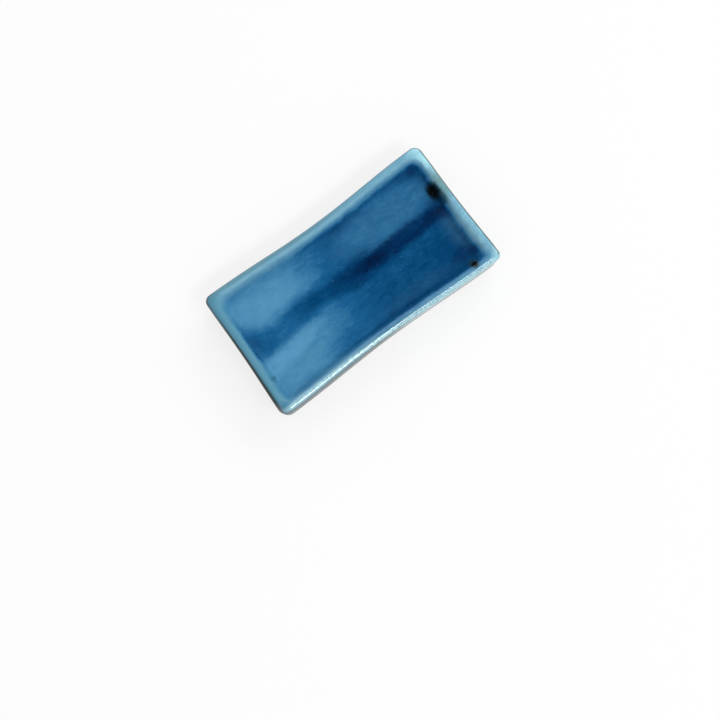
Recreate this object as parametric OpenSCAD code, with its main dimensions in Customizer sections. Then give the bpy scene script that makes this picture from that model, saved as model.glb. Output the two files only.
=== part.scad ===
// Chopstick rest: a small press-moulded stoneware dish, dipped in a thin translucent glaze.
// The clay body carries everything. The glaze is a skin over its rim, walls and slopes, a
// thicker lens of glass pooled on its floor, and three blots of melted iron set in the skin.
// Every surface is lofted through level rings. A ring is the dish's outline drawn in by an
// inset, and a profile gives the inset and the height of each ring.
// +X runs along the rest, +Z is up, and the origin is under its middle, where the foot stands.

/* [Overall size] */
// Length over the glazed rim
rest_l = 57; // [50:0.5:68]
// Width over the glazed rim
rest_w = 30; // [25:0.5:36]
// Height from the foot to the crest of the rim
rest_h = 8.5; // [7:0.1:11]

/* [Outline] */
// Outer corner radius, back left
corner_r_back_left = 1.5; // [1:0.1:3]
// Outer corner radius, back right
corner_r_back_right = 1.8; // [1:0.1:3]
// Outer corner radius, front left
corner_r_front_left = 2.1; // [1:0.1:3]
// Outer corner radius, front right
corner_r_front_right = 1.2; // [1:0.1:3]
// How far the middle of the back side is drawn in
back_bow = 0.95; // [0:0.05:1.2]
// How far the middle of the front side is drawn in
front_bow = 0.7; // [0:0.05:1.2]
// How far the middle of each short side is drawn in
end_bow = 0.2; // [0:0.05:0.6]
// How far the left end slants inwards by the time it reaches the back
left_slant = 1.4; // [0:0.1:2]
// How far the right end slants inwards by the time it reaches the front
right_slant = 0.3; // [0:0.1:2]

/* [Rim and wall] */
// Lean of the outer wall, in degrees, with the foot drawn in
wall_lean = 4; // [2:0.5:12]
// Radius of the rim's outer roll
rim_out_r = 1.1; // [0.7:0.05:1.5]
// Level width of the rim's crest
rim_flat_w = 0.1; // [0.05:0.05:0.6]
// Radius of the rim's inner roll
rim_in_r = 1.2; // [0.7:0.05:1.5]

/* [Well] */
// Depth of the glass surface below the crest, at the edge of the floor
well_depth = 2.4; // [2:0.1:3.2]
// Steepness of the slope between rim and floor, in degrees
well_slope = 56; // [45:1:65]
// Radius of the fillet at the foot of the slope
floor_fillet_r = 1.5; // [0.8:0.05:1.8]
// Corner radius of the well, from the foot of its slope inwards
well_corner_r = 2.6; // [1.6:0.1:3]
// How far the clay floor dips towards its middle
clay_dip = 0.45; // [0.25:0.05:0.8]

/* [Foot] */
// Level width of the foot
foot_w = 2.4; // [1.6:0.1:3.5]
// Rounding of the foot's outer edge
foot_edge_r = 0.5; // [0.3:0.05:0.8]
// Bevel of the foot's inner edge
foot_bevel = 0.4; // [0.2:0.05:0.6]
// Depth of the hollow under the rest
hollow_depth = 1.2; // [0.9:0.1:1.6]
// Fillet round the roof of the hollow
hollow_fillet_r = 0.6; // [0.3:0.05:0.8]

/* [Glaze] */
// Thickness of the glaze on the outer wall
wall_glaze_t = 0.3; // [0.2:0.05:0.45]
// Thickness on the crest of the rim, where it runs thin
rim_glaze_t = 0.2; // [0.15:0.05:0.35]
// Thickness on the slope of the well
slope_glaze_t = 0.35; // [0.2:0.05:0.5]
// Thickness at the edge of the floor, where the pool starts
pool_edge_t = 0.5; // [0.3:0.05:0.7]
// How far the glass surface of the pool dips towards its middle
pool_dip = 0.15; // [0:0.05:0.2]
// Height of the bare clay band between the foot and the glaze line
bare_band_h = 1.2; // [0.9:0.1:2]
// Height of the rounded bead along the glaze line
bead_h = 0.4; // [0.25:0.05:0.6]

/* [Iron spots] */
// Large blot, along the right end
large_spot_l = 3.2; // [2:0.1:4]
// Large blot, across the slope
large_spot_w = 2.2; // [1.2:0.1:2.4]
// Large blot, its middle in from the back side
large_spot_from_back = 9.6; // [7:0.1:14]
// Small blot, along the front side
small_spot_l = 1.5; // [0.8:0.1:2]
// Small blot, across the slope
small_spot_w = 1.3; // [0.8:0.1:1.8]
// Small blot, its middle in from the right end
small_spot_from_end = 5.9; // [4.5:0.1:10]
// Speck, along the left end
speck_l = 0.9; // [0.6:0.1:1.4]
// Speck, across the slope
speck_w = 0.7; // [0.5:0.1:1.2]
// Speck, its middle in from the front side
speck_from_front = 7.8; // [6:0.1:14]

/* [Hidden] */

// Steps that each stretch of a ring or profile is drawn in
corner_steps = 9;
long_steps = 10;
short_steps = 6;
foot_steps = 3;
bead_steps = 3;
out_steps = 6;
in_steps = 4;
fillet_steps = 4;
floor_steps = 4;
hollow_steps = 3;
blot_steps = 22;

// Depth by which a cutter passes a face
overrun = 0.5;
// Least share of the well's slope that stays straight between its two rounds
straight_share = 0.1;
// A blot's outline swells and shrinks by this share, in lobes turned by an angle
blot_swell_share = 0.09;
blot_lobes = 3;
blot_turn = 40;

// Corners run anticlockwise from the back right, and side i follows corner i
corner_signs = [[1, 1], [-1, 1], [-1, -1], [1, -1]];
corner_radii = [corner_r_back_right, corner_r_back_left, corner_r_front_left, corner_r_front_right];
side_bows = [back_bow, end_bow, front_bow, end_bow];
side_steps = [long_steps, short_steps, long_steps, short_steps];

// Profile points are [inset, height], and a skin faces e degrees above level, outwards under 90
function facing(e) = [-cos(e), sin(e)];
function mix(a, b, s) = a + (b - a) * s;
// A station is a point of the glazed skin, the way it faces and the glaze under it
function station(centre, r, e, t) = [centre + r * facing(e), facing(e), t];
function glazed(s) = s[0];
function bare(s) = s[0] - s[2] * s[1];

// Rim: an outer and an inner roll with a narrow crest between them
out_centre = [rim_out_r, rest_h - rim_out_r];
in_centre = [rim_out_r + rim_flat_w, rest_h - rim_in_r];
slope_facing = 90 + well_slope;

// Well: a straight slope runs tangent from the inner roll to the floor fillet
turn_share = 1 - cos(well_slope);
fillet_room = (1 - straight_share) * (well_depth - rim_in_r * turn_share) / turn_share;
fillet_r = min(floor_fillet_r, fillet_room);
floor_z = rest_h - well_depth;
slope_top = in_centre + rim_in_r * facing(slope_facing);
slope_drop = well_depth - (rim_in_r + fillet_r) * turn_share;
slope_foot_inset = slope_top.x + slope_drop / tan(well_slope);
floor_inset = slope_foot_inset + fillet_r * sin(well_slope);
fillet_centre = [floor_inset, floor_z + fillet_r];

// Outer wall: a straight line, tangent to the outer roll, down to the foot's rounded edge
wall_top = station(out_centre, rim_out_r, -wall_lean, wall_glaze_t);
function bare_wall(z) =
    let(top = bare(wall_top))
    [top.x + (top.y - z) * tan(wall_lean), z];
foot_edge_z = foot_edge_r * (1 - sin(wall_lean));
foot_inset = bare_wall(foot_edge_z).x + foot_edge_r * cos(wall_lean);
hollow_inset = foot_inset + foot_w + foot_bevel;

// Stations of the glazed skin, up the wall, over the rim and down to the edge of the floor
skin = concat(
    [wall_top],
    [for (k = [0:out_steps])
        let(s = k / out_steps)
        station(out_centre, rim_out_r, 90 * s, mix(wall_glaze_t, rim_glaze_t, s))],
    [for (k = [0:in_steps])
        let(s = k / in_steps)
        station(in_centre, rim_in_r, mix(90, slope_facing, s), mix(rim_glaze_t, slope_glaze_t, s))],
    [for (k = [0:fillet_steps])
        let(s = k / fillet_steps)
        station(fillet_centre, -fillet_r, mix(slope_facing, 90, s), mix(slope_glaze_t, pool_edge_t, s))]
);

// Ring of points at one [inset, height]: four corner arcs, and sides that bow inwards between them.
// The corners open out from the outline to the foot of the well's slope
function corner_r(i, inset) = mix(corner_radii[i], well_corner_r, min(1, inset / slope_foot_inset));
function corner_point(i, inset, a) =
    let(r = corner_r(i, inset))
    [
        corner_signs[i].x * (rest_l / 2 - inset - r) + r * cos(a),
        corner_signs[i].y * (rest_w / 2 - inset - r) + r * sin(a)
    ];
function side_point(i, inset, s) =
    let(
        a = 90 * (i + 1),
        from = corner_point(i, inset, a),
        to = corner_point((i + 1) % 4, inset, a),
        bow = side_bows[i] * (1 - cos(360 * s)) / 2
    )
    mix(from, to, s) - bow * [cos(a), sin(a)];
function square_ring(inset) = [
    for (i = [0:3])
        each concat(
            [for (j = [0:corner_steps]) corner_point(i, inset, 90 * (i + j / corner_steps))],
            [for (j = [1:side_steps[i] - 1]) side_point(i, inset, j / side_steps[i])]
        )
];
// The slab was cut by hand and isn't quite square, so both ends slant a little
function skewed(p) =
    let(
        back_share = (p.y + rest_w / 2) / rest_w,
        right_share = (p.x + rest_l / 2) / rest_l,
        left_shift = left_slant * back_share * (1 - right_share),
        right_shift = right_slant * (1 - back_share) * right_share
    )
    [p.x + left_shift - right_shift, p.y];
skewed_xs = [for (p = square_ring(0)) skewed(p).x];
middle = [(max(skewed_xs) + min(skewed_xs)) / 2, 0];
function placed(p) = skewed(p) - middle;
function ring(at) = [for (p = square_ring(at.x)) concat(placed(p), at.y)];
// Place in a ring of the first point of corner i and of side i
function corner_first(i) = i == 0 ? 0 : side_first(i - 1) + side_steps[i - 1];
function side_first(i) = corner_first(i) + corner_steps;

// Ring of the dished floor: the floor's edge shrunk to a share of its size, at its dipped height
function floor_ring(z, dip, share) =
    [for (p = ring([floor_inset, z])) [p.x * share, p.y * share, z - dip * pow(1 - share * share, 2)]];
function floor_shares() = [for (k = [floor_steps - 1:-1:1]) k / floor_steps];
function reversed(list) = [for (k = [len(list) - 1:-1:0]) list[k]];
function joined(lists) = [for (l = lists) each l];

// Triangles between ring k and ring m of n points each
function between(k, m, n) = [
    for (i = [0:n - 1])
        let(j = (i + 1) % n)
        each [[k * n + i, m * n + i, m * n + j], [k * n + i, m * n + j, k * n + j]]
];
function reversed_faces(faces) = [for (f = faces) reversed(f)];
function facing_way(faces, inside_out) = inside_out ? reversed_faces(faces) : faces;

// Solid through rings in order, each end closed by a fan to its tip
module loft(rings, first_tip, last_tip, inside_out = false) {
    n = len(rings[0]);
    last = len(rings) - 1;
    first_at = n * (last + 1);
    faces = concat(
        [for (i = [0:n - 1]) [first_at, i, (i + 1) % n]],
        joined([for (k = [0:last - 1]) between(k, k + 1, n)]),
        [for (i = [0:n - 1]) [first_at + 1, last * n + (i + 1) % n, last * n + i]]
    );
    polyhedron(concat(joined(rings), [first_tip, last_tip]), facing_way(faces, inside_out));
}

// Solid whose last ring joins its first, as a skin does
module closed_loft(rings, inside_out = false) {
    n = len(rings[0]);
    last = len(rings) - 1;
    faces = joined([for (k = [0:last]) between(k, (k + 1) % (last + 1), n)]);
    polyhedron(joined(rings), facing_way(faces, inside_out));
}

// Sheet between two grids of points, in rows up the skin and columns along it
module sheet(over, under) {
    rows = len(over);
    cols = len(over[0]);
    under_at = rows * cols;
    top = [
        for (r = [0:rows - 2], c = [0:cols - 2])
            let(a = r * cols + c, b = a + cols)
            each [[a, b, b + 1], [a, b + 1, a + 1]]
    ];
    rim = concat(
        [for (c = [0:cols - 1]) c],
        [for (r = [1:rows - 1]) r * cols + cols - 1],
        [for (c = [cols - 2:-1:0]) (rows - 1) * cols + c],
        [for (r = [rows - 2:-1:0]) r * cols]
    );
    edge = [
        for (k = [0:len(rim) - 2])
            let(a = rim[k], b = rim[k + 1])
            each [[a, b, b + under_at], [a, b + under_at, a + under_at]]
    ];
    bottom = [for (f = reversed_faces(top)) [for (v = f) v + under_at]];
    polyhedron(joined(concat(over, under)), concat(top, bottom, edge));
}

// Clay as fired, before its underside is hollowed
clay_rings = concat(
    [for (k = [0:foot_steps])
        let(e = mix(-90, -wall_lean, k / foot_steps))
        ring([foot_inset, foot_edge_r] + foot_edge_r * facing(e))],
    [ring(bare_wall(bare_band_h))],
    [for (s = skin) ring(bare(s))],
    [for (share = floor_shares()) floor_ring(floor_z - pool_edge_t, clay_dip, share)]
);
clay_tip = [0, 0, floor_z - pool_edge_t - clay_dip];
glass_tip = [0, 0, floor_z - pool_dip];

module clay_blank() {
    loft(clay_rings, [0, 0, 0], clay_tip);
}

module foot_hollow() {
    roof_centre = [hollow_inset + hollow_fillet_r, hollow_depth - hollow_fillet_r];
    rings = concat(
        [ring([hollow_inset - foot_bevel - overrun, -overrun])],
        [ring([hollow_inset, foot_bevel])],
        [for (k = [1:hollow_steps])
            ring(roof_centre + hollow_fillet_r * facing(mix(0, 90, k / hollow_steps)))]
    );
    loft(rings, [0, 0, -overrun], [0, 0, hollow_depth]);
}

// Glaze skin: over the clay, then back over its own face to the bead at the glaze line
module glaze_skin() {
    bead_facing = facing(-wall_lean);
    rings = concat(
        [ring(bare_wall(bare_band_h))],
        [for (s = skin) ring(bare(s))],
        [for (s = reversed(skin)) ring(glazed(s))],
        [for (k = [bead_steps:-1:1])
            let(a = 90 * k / bead_steps)
            ring(bare_wall(bare_band_h + bead_h * (1 - cos(a))) + wall_glaze_t * sin(a) * bead_facing)]
    );
    closed_loft(rings, inside_out = true);
}

// Stretch of the skin's rim and slope alone, a number of steps along the ring from its first point
module skin_patch(first, steps) {
    stations = [for (k = [1:len(skin) - 1]) skin[k]];
    n = corner_first(4);
    sheet(
        [for (s = stations) let(r = ring(glazed(s))) [for (c = [0:steps]) r[(first + c) % n]]],
        [for (s = stations) let(r = ring(bare(s))) [for (c = [0:steps]) r[(first + c) % n]]]
    );
}

// Column of an iron blot, upright through the skin, in an oval outline with a slow swell
module blot_column(at, turn, l, w) {
    outline = [
        for (k = [0:blot_steps - 1])
            let(a = 360 * k / blot_steps)
            (1 + blot_swell_share * sin(blot_lobes * a + blot_turn)) * [l / 2 * cos(a), w / 2 * sin(a)]
    ];
    translate(concat(placed(at), floor_z - pool_edge_t - overrun))
        rotate(turn)
            linear_extrude(well_depth + pool_edge_t + 2 * overrun)
                polygon(outline);
}

// The large blot and the speck lie half way down the slope, the small blot at its top
slope_middle_inset = (slope_top.x + slope_foot_inset) / 2;
module large_column() {
    at = [rest_l / 2 - end_bow - slope_middle_inset, rest_w / 2 - large_spot_from_back];
    blot_column(at, 90, large_spot_l, large_spot_w);
}
module small_column() {
    at = [rest_l / 2 - small_spot_from_end, slope_top.x - rest_w / 2];
    blot_column(at, 0, small_spot_l, small_spot_w);
}
module speck_column() {
    at = [end_bow + slope_middle_inset - rest_l / 2, speck_from_front - rest_w / 2];
    blot_column(at, 90, speck_l, speck_w);
}

module clay_body() {
    color([0.70, 0.66, 0.60])
        difference() {
            clay_blank();
            foot_hollow();
        }
}

module glaze_coat() {
    color([0.55, 0.76, 0.83])
        difference() {
            glaze_skin();
            large_column();
            small_column();
            speck_column();
        }
}

module glaze_pool() {
    glass = [for (share = reversed(floor_shares())) floor_ring(floor_z, pool_dip, share)];
    bed = [for (share = floor_shares()) floor_ring(floor_z - pool_edge_t, clay_dip, share)];
    edge = [ring([floor_inset, floor_z]), ring([floor_inset, floor_z - pool_edge_t])];
    color([0.10, 0.36, 0.56])
        loft(concat(glass, edge, bed), glass_tip, clay_tip, inside_out = true);
}

module iron_spot_large() {
    color([0.04, 0.05, 0.04])
        intersection() {
            skin_patch(side_first(3), short_steps);
            large_column();
        }
}

module iron_spot_small() {
    color([0.04, 0.05, 0.04])
        intersection() {
            skin_patch(side_first(2), long_steps + corner_steps);
            small_column();
        }
}

module iron_speck() {
    color([0.14, 0.18, 0.14])
        intersection() {
            skin_patch(side_first(1), short_steps);
            speck_column();
        }
}

clay_body();
glaze_coat();
glaze_pool();
iron_spot_large();
iron_spot_small();
iron_speck();
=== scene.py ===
import math

import bmesh
import bpy
from mathutils import Matrix, Vector, noise
from mathutils.bvhtree import BVHTree


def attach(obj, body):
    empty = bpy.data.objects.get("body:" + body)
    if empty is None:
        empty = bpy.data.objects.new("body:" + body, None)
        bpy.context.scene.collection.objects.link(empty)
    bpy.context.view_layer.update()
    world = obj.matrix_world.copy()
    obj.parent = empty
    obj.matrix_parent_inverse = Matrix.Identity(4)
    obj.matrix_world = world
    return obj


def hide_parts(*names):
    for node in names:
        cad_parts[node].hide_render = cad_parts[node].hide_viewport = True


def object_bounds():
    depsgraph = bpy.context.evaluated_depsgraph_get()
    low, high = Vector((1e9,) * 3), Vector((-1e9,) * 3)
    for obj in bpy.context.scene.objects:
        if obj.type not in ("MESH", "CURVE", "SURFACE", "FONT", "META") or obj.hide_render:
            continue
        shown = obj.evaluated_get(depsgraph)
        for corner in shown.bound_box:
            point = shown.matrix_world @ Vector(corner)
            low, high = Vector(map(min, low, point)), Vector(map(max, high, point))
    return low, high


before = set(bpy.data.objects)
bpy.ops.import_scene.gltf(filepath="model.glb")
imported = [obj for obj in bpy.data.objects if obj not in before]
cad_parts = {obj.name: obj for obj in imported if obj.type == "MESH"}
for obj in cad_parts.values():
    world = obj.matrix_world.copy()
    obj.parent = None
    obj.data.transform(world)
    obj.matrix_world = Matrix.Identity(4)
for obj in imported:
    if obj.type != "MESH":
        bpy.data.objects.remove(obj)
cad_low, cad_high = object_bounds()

# A small stoneware chopstick rest: a clay dish under a thin blue glaze that breaks pale on its rim
# and pools dark in its well. Lengths are in metres, and MM turns millimetres into them.
MM = 0.001

# Outline. It is drawn square first and then slanted, so its length is named here
OUTLINE_L = 57 * MM
OUTLINE_W = cad_high.y - cad_low.y
CREST_Z = cad_high.z
CORNER_RADII = {(1, 1): 1.8 * MM, (-1, 1): 1.5 * MM, (-1, -1): 2.1 * MM, (1, -1): 1.2 * MM}
WELL_CORNER_R = 2.6 * MM
BACK_BOW = 0.95 * MM
FRONT_BOW = 0.7 * MM
END_BOW = 0.2 * MM
LEFT_SLANT = 1.4 * MM
RIGHT_SLANT = 0.3 * MM

# Section through the rim
WALL_LEAN = math.radians(4)
RIM_OUT_R = 1.1 * MM
RIM_FLAT_W = 0.1 * MM
RIM_IN_R = 1.2 * MM
WELL_DEPTH = 2.4 * MM
WELL_SLOPE = math.radians(56)
FLOOR_FILLET_R = 1.5 * MM
CLAY_DIP = 0.45 * MM
POOL_DIP = 0.15 * MM
FOOT_W = 2.4 * MM
FOOT_EDGE_R = 0.5 * MM
FOOT_BEVEL = 0.4 * MM
FOOT_BEVEL_BULGE = Vector((-0.62, 0.25))
HOLLOW_DEPTH = 1.2 * MM
HOLLOW_FILLET_R = 0.6 * MM
WALL_GLAZE_T = 0.3 * MM
RIM_GLAZE_T = 0.2 * MM
SLOPE_GLAZE_T = 0.35 * MM
POOL_EDGE_T = 0.5 * MM
BARE_BAND_H = 1.2 * MM
BEAD_H = 0.4 * MM

# Steps that each stretch is drawn in, and shares of their full size that the loops between have
CORNER_STEPS = 14
LONG_STEPS = 34
SHORT_STEPS = 18
ROLL_STEPS = 12
SLOPE_STEPS = 5
FILLET_STEPS = 10
FLOOR_STEPS = 16
WALL_STEPS = 10
HIDDEN_STEPS = 4
ROUND_STEPS = 6
HOLLOW_SHARES = (0.12, 0.3, 0.5, 0.7, 0.87)
FOOT_SHARES = (1, 0.66, 0.33)
LOW_WALL_HEIGHTS = (0.7 * MM, 0.95 * MM, BARE_BAND_H, 1.6 * MM, 2.4 * MM)
SEAM_SHARE = 0.002

# A face edge that turns more than this stays sharp
SHARP_ANGLE = math.radians(50)

# Unevenness left by hand cutting and wiping, always inwards. Its waves are counted to the metre. The seed
# is set because the noise otherwise changes with the clock
NOISE_SEED = 7
HAND_SHRINK = 0.0035
CREST_SAG = 0.05 * MM
BROAD_WAVES = 120
BROAD_SHARE = 0.75
FINE_WAVES = 380
FINE_SHARE = 0.25
GLAZE_LINE_WANDER = 0.22 * MM
GLAZE_LINE_WAVES = 160
GLAZE_LINE_FADE_H = 3 * MM
noise.seed_set(NOISE_SEED)

# The iron marks: their middles on the plan and half sizes in millimetres, and their turn in degrees
LARGE_SPOT = {"at": (25.3, 5.1), "half": (0.92, 1.55), "turn": -3}
SMALL_SPOT = {"at": (22.28, -12.98), "half": (0.6, 0.62), "turn": 10}
SPECK = {"at": (-25.3, -7.1), "half": (0.34, 0.44), "turn": 0}
BLOT_CROWN = 0.006 * MM
FLECK_CROWN = 0.004 * MM
BLOT_EDGE_SUNK = 0.03 * MM
BLOT_T = 0.12 * MM
BLOT_SEGMENTS = 40
BLOT_REACHES = (1, 0.85, 0.7, 0.55, 0.4, 0.25, 0.1)
BLOT_LOBES = 3
BLOT_LOBE_START = 0.7
BLOT_SWELL = 0.1


def mix(a, b, share):
    return a + (b - a) * share


# ---- Section of the rim: points are (inset from the outline, height) ----

def facing(lean):
    """The way a skin faces when it leans this far up from level, outwards under a right angle."""
    return Vector((-math.cos(lean), math.sin(lean)))


def arc(centre, radius, start, end, steps, glaze_start, glaze_end):
    """Stations along an arc of the section: (point, facing, glaze thickness)."""
    stations = []
    for step in range(steps + 1):
        share = step / steps
        way = facing(mix(start, end, share))
        stations.append((centre + radius * way, way, mix(glaze_start, glaze_end, share)))
    return stations


LEVEL = math.radians(90)
SLOPE_FACING = LEVEL + WELL_SLOPE
OUT_CENTRE = Vector((RIM_OUT_R, CREST_Z - RIM_OUT_R))
IN_CENTRE = Vector((RIM_OUT_R + RIM_FLAT_W, CREST_Z - RIM_IN_R))
FLOOR_Z = CREST_Z - WELL_DEPTH
SLOPE_TOP = IN_CENTRE + RIM_IN_R * facing(SLOPE_FACING)
SLOPE_DROP = WELL_DEPTH - (RIM_IN_R + FLOOR_FILLET_R) * (1 - math.cos(WELL_SLOPE))
SLOPE_FOOT_INSET = SLOPE_TOP.x + SLOPE_DROP / math.tan(WELL_SLOPE)
FLOOR_INSET = SLOPE_FOOT_INSET + FLOOR_FILLET_R * math.sin(WELL_SLOPE)
FILLET_CENTRE = Vector((FLOOR_INSET, FLOOR_Z + FLOOR_FILLET_R))
WALL_TOP = OUT_CENTRE + (RIM_OUT_R - WALL_GLAZE_T) * facing(-WALL_LEAN)


def bare_wall(height):
    """Point of the clay wall at a height."""
    return Vector((WALL_TOP.x + (WALL_TOP.y - height) * math.tan(WALL_LEAN), height))


FOOT_EDGE_TOP = FOOT_EDGE_R * (1 - math.sin(WALL_LEAN))
FOOT_INSET = bare_wall(FOOT_EDGE_TOP).x + FOOT_EDGE_R * math.cos(WALL_LEAN)
HOLLOW_INSET = FOOT_INSET + FOOT_W + FOOT_BEVEL


def skin_stations(roll_steps, slope_steps, fillet_steps):
    """Stations of the glazed skin, from the top of the wall over the rim to the edge of the floor."""
    outer = arc(OUT_CENTRE, RIM_OUT_R, -WALL_LEAN, LEVEL, roll_steps, WALL_GLAZE_T, RIM_GLAZE_T)
    inner = arc(IN_CENTRE, RIM_IN_R, LEVEL, SLOPE_FACING, roll_steps, RIM_GLAZE_T, SLOPE_GLAZE_T)
    fillet = arc(
        FILLET_CENTRE, -FLOOR_FILLET_R, SLOPE_FACING, LEVEL, fillet_steps, SLOPE_GLAZE_T, POOL_EDGE_T)
    slope = []
    for step in range(1, slope_steps):
        point = mix(inner[-1][0], fillet[0][0], step / slope_steps)
        slope.append((point, facing(SLOPE_FACING), SLOPE_GLAZE_T))
    return outer + inner + slope + fillet


def bare(station):
    """Point of the clay under a station."""
    point, way, glaze = station
    return point - glaze * way


# ---- Loops of the outline ----

def slanted(co):
    """The slab was cut by hand and isn't quite square, so both ends slant a little."""
    back_share = (co.y + OUTLINE_W / 2) / OUTLINE_W
    right_share = (co.x + OUTLINE_L / 2) / OUTLINE_L
    left_shift = LEFT_SLANT * back_share * (1 - right_share)
    right_shift = RIGHT_SLANT * (1 - back_share) * right_share
    return Vector((co.x + left_shift - right_shift, co.y, co.z))


def outline_loop(bm, at, keep=1.0, middle_x=0.0):
    """Edges of one level loop: the outline drawn in by at.x at height at.y, then shrunk to a share."""
    before = set(bm.edges)
    half = Vector((OUTLINE_L / 2 - at.x, OUTLINE_W / 2 - at.x, 1))
    placing = Matrix.Translation((0, 0, at.y)) @ Matrix.Diagonal((half.x, half.y, 1, 1))
    corners = bmesh.ops.create_grid(bm, x_segments=1, y_segments=1, size=1, matrix=placing)["verts"]
    for corner in corners:
        signs = (int(math.copysign(1, corner.co.x)), int(math.copysign(1, corner.co.y)))
        radius = mix(CORNER_RADII[signs], WELL_CORNER_R, min(1, at.x / SLOPE_FOOT_INSET))
        bmesh.ops.bevel(
            bm, geom=[corner], offset=radius, segments=CORNER_STEPS, profile=0.5, affect="VERTICES",
            material=-1)
    # The long edges that the rounding leaves are the sides, and they bow inwards
    for edge in [e for e in bm.edges if e not in before and e.calc_length() > half.y / 2]:
        start, end = edge.verts[0].co.copy(), edge.verts[1].co.copy()
        lengthwise = abs(end.x - start.x) > abs(end.y - start.y)
        steps = LONG_STEPS if lengthwise else SHORT_STEPS
        pull = Vector((-math.copysign(END_BOW, start.x), 0, 0))
        if lengthwise:
            pull = Vector((0, -BACK_BOW if start.y > 0 else FRONT_BOW, 0))
        cuts = bmesh.ops.subdivide_edges(bm, edges=[edge], cuts=steps - 1)["geom_inner"]
        for vert in [v for v in cuts if isinstance(v, bmesh.types.BMVert)]:
            share = (vert.co - start).length / (end - start).length
            vert.co += pull * (1 - math.cos(2 * math.pi * share)) / 2
    loop = [e for e in bm.edges if e not in before]
    bmesh.ops.delete(bm, geom=list({f for e in loop for f in e.link_faces}), context="FACES_ONLY")
    for vert in {v for e in loop for v in e.verts}:
        place = slanted(vert.co)
        vert.co = Vector(((place.x - middle_x) * keep, place.y * keep, place.z))
    return loop


def slab_middle():
    """Middle of the slanted outline along its length."""
    probe = bmesh.new()
    outline_loop(probe, Vector((0, 0)))
    places = [v.co.x for v in probe.verts]
    probe.free()
    return (min(places) + max(places)) / 2


MIDDLE_X = slab_middle()


def ring(bm, at, keep=1.0):
    return outline_loop(bm, at, keep, MIDDLE_X)


def floor_ring(bm, height, dip, share):
    """Loop of a dished floor: the floor's edge shrunk to a share of its size, at its dipped height."""
    return ring(bm, Vector((FLOOR_INSET, height - dip * (1 - share ** 2) ** 2)), share)


def bridged(bm, loops, closed=False):
    """Walls between loops taken in order, and from the last to the first where closed."""
    pairs = list(zip(loops, loops[1:]))
    if closed:
        pairs.append((loops[-1], loops[0]))
    # Two loops at one level have no clear way round, so one is lifted well away while they are joined
    lift = Vector((0, 0, 0.1))
    for first, second in pairs:
        lifted = list({v for e in second for v in e.verts})
        bmesh.ops.translate(bm, verts=lifted, vec=lift)
        bmesh.ops.bridge_loops(bm, edges=first + second)
        bmesh.ops.translate(bm, verts=lifted, vec=-lift)


def capped(bm, loop, tip_z):
    """A fan from a loop to a tip on the middle line."""
    face = bmesh.ops.contextual_create(bm, geom=loop)["faces"]
    bmesh.ops.poke(bm, faces=face)["verts"][0].co = Vector((0, 0, tip_z))


# ---- Finished pieces ----

def hand_worked(co):
    """Where a point of the even form ends up on the hand-made one."""
    broad = noise.noise_vector(co * BROAD_WAVES) * BROAD_SHARE
    fine = noise.noise_vector(co * FINE_WAVES) * FINE_SHARE
    inwards = Vector([0.5 + 0.5 * max(-1, min(1, value)) for value in broad + fine])
    rise = co.z / CREST_Z
    return Vector((
        co.x * (1 - HAND_SHRINK * inwards.x),
        co.y * (1 - HAND_SHRINK * inwards.y),
        co.z - CREST_SAG * inwards.z * rise ** 3))


def mesh_object(bm, name, material):
    mesh = bpy.data.meshes.new(name)
    bm.to_mesh(mesh)
    bm.free()
    mesh.materials.append(material)
    made = bpy.data.objects.new(name, mesh)
    bpy.context.scene.collection.objects.link(made)
    return made


def smooth_piece(bm, name, cad_node, material):
    """Smooth piece from a closed form, facing outwards and standing for its CAD node."""
    for face in bm.faces:
        face.smooth = True
    piece = mesh_object(bm, name, material)
    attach(piece, "root")
    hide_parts(cad_node)
    return piece


def finished(bm, name, cad_node, material):
    """Piece from an even form, which is worked by hand first."""
    for vert in bm.verts:
        vert.co = hand_worked(vert.co)
    bmesh.ops.recalc_face_normals(bm, faces=bm.faces)
    for edge in bm.edges:
        edge.smooth = edge.calc_face_angle(0) < SHARP_ANGLE
    return smooth_piece(bm, name, cad_node, material)


def clay_dish(material):
    """Fired clay dish: hollow underneath, standing on its wiped foot, bare below the glaze line."""
    bm = bmesh.new()
    loops = []
    for share in HOLLOW_SHARES:
        loops.append(ring(bm, Vector((HOLLOW_INSET + HOLLOW_FILLET_R, HOLLOW_DEPTH)), share))
    roof_centre = Vector((HOLLOW_INSET + HOLLOW_FILLET_R, HOLLOW_DEPTH - HOLLOW_FILLET_R))
    for step in range(ROUND_STEPS, -1, -1):
        lean = mix(0, LEVEL, step / ROUND_STEPS)
        loops.append(ring(bm, roof_centre + HOLLOW_FILLET_R * facing(lean)))
    loops.append(ring(bm, Vector((HOLLOW_INSET, FOOT_BEVEL))))
    loops.append(ring(bm, Vector((HOLLOW_INSET, 0)) + FOOT_BEVEL * FOOT_BEVEL_BULGE))
    for share in FOOT_SHARES:
        loops.append(ring(bm, Vector((FOOT_INSET + FOOT_W * share, 0))))
    for step in range(ROUND_STEPS + 1):
        lean = mix(-LEVEL, -WALL_LEAN, step / ROUND_STEPS)
        loops.append(ring(bm, Vector((FOOT_INSET, FOOT_EDGE_R)) + FOOT_EDGE_R * facing(lean)))
    for height in LOW_WALL_HEIGHTS:
        loops.append(ring(bm, bare_wall(height)))
    for station in skin_stations(HIDDEN_STEPS, 2, HIDDEN_STEPS):
        loops.append(ring(bm, bare(station)))
    for step in range(HIDDEN_STEPS - 1, 0, -1):
        loops.append(floor_ring(bm, FLOOR_Z - POOL_EDGE_T, CLAY_DIP, step / HIDDEN_STEPS))
    bridged(bm, loops)
    capped(bm, loops[0], HOLLOW_DEPTH)
    capped(bm, loops[-1], FLOOR_Z - POOL_EDGE_T - CLAY_DIP)
    return finished(bm, "clay_dish", "clay_body", material)


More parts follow.
